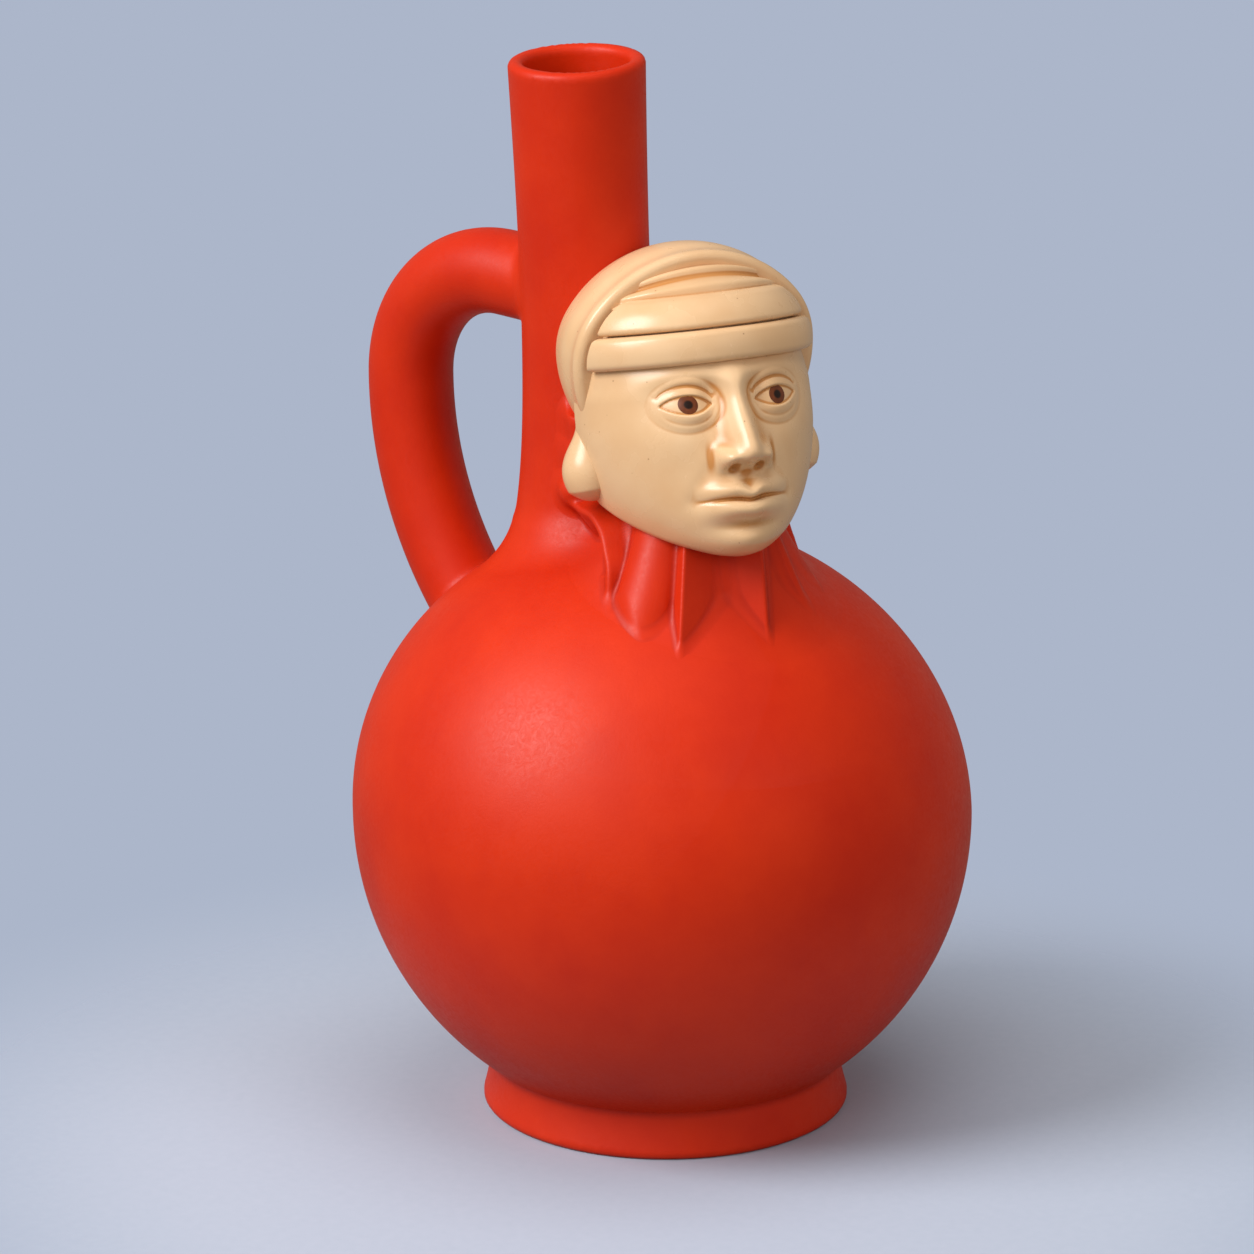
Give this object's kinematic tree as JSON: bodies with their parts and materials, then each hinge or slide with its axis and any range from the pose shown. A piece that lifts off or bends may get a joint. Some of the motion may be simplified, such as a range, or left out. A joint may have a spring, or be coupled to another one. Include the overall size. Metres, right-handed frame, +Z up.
{
  "type": "portrait vessel",
  "caption": "Fired clay bottle with a globular body on a ring foot, a tall open neck, a round loop handle and a modelled head with hood, headbands and pleated collar.",
  "frame": {"origin": "centre of the foot ring on the surface that the vessel stands on", "axes": "+Z up through the globe's axis, +Y towards the handle, -Y towards the front, from which the head is turned by 28 degrees towards -X"},
  "size_m": [0.165, 0.1819, 0.2845],
  "materials": {
    "red_slip": "burnished satin red-orange clay slip",
    "cream_slip": "burnished satin cream clay slip",
    "brown_slip": "burnished satin brown clay slip"
  },
  "bodies": {
    "root": {"lower_globe": "red_slip", "upper_globe": "red_slip", "foot_ring": "red_slip", "neck_spout": "red_slip", "handle": "red_slip", "collar_core": "red_slip", "fold_front_middle": "red_slip", "fold_narrow_left": "red_slip", "fold_narrow_right": "red_slip", "fold_broad_left": "red_slip", "fold_broad_right": "red_slip", "fold_curled_left": "red_slip", "fold_curled_right": "red_slip", "head_ball": "cream_slip", "face_mask": "cream_slip", "hood": "cream_slip", "crown_cloth": "cream_slip", "upper_headband": "cream_slip", "lower_headband": "cream_slip", "ear_bulb_left": "cream_slip", "ear_bulb_right": "cream_slip", "iris_left": "brown_slip", "iris_right": "brown_slip"}
  },
  "joints": []
}
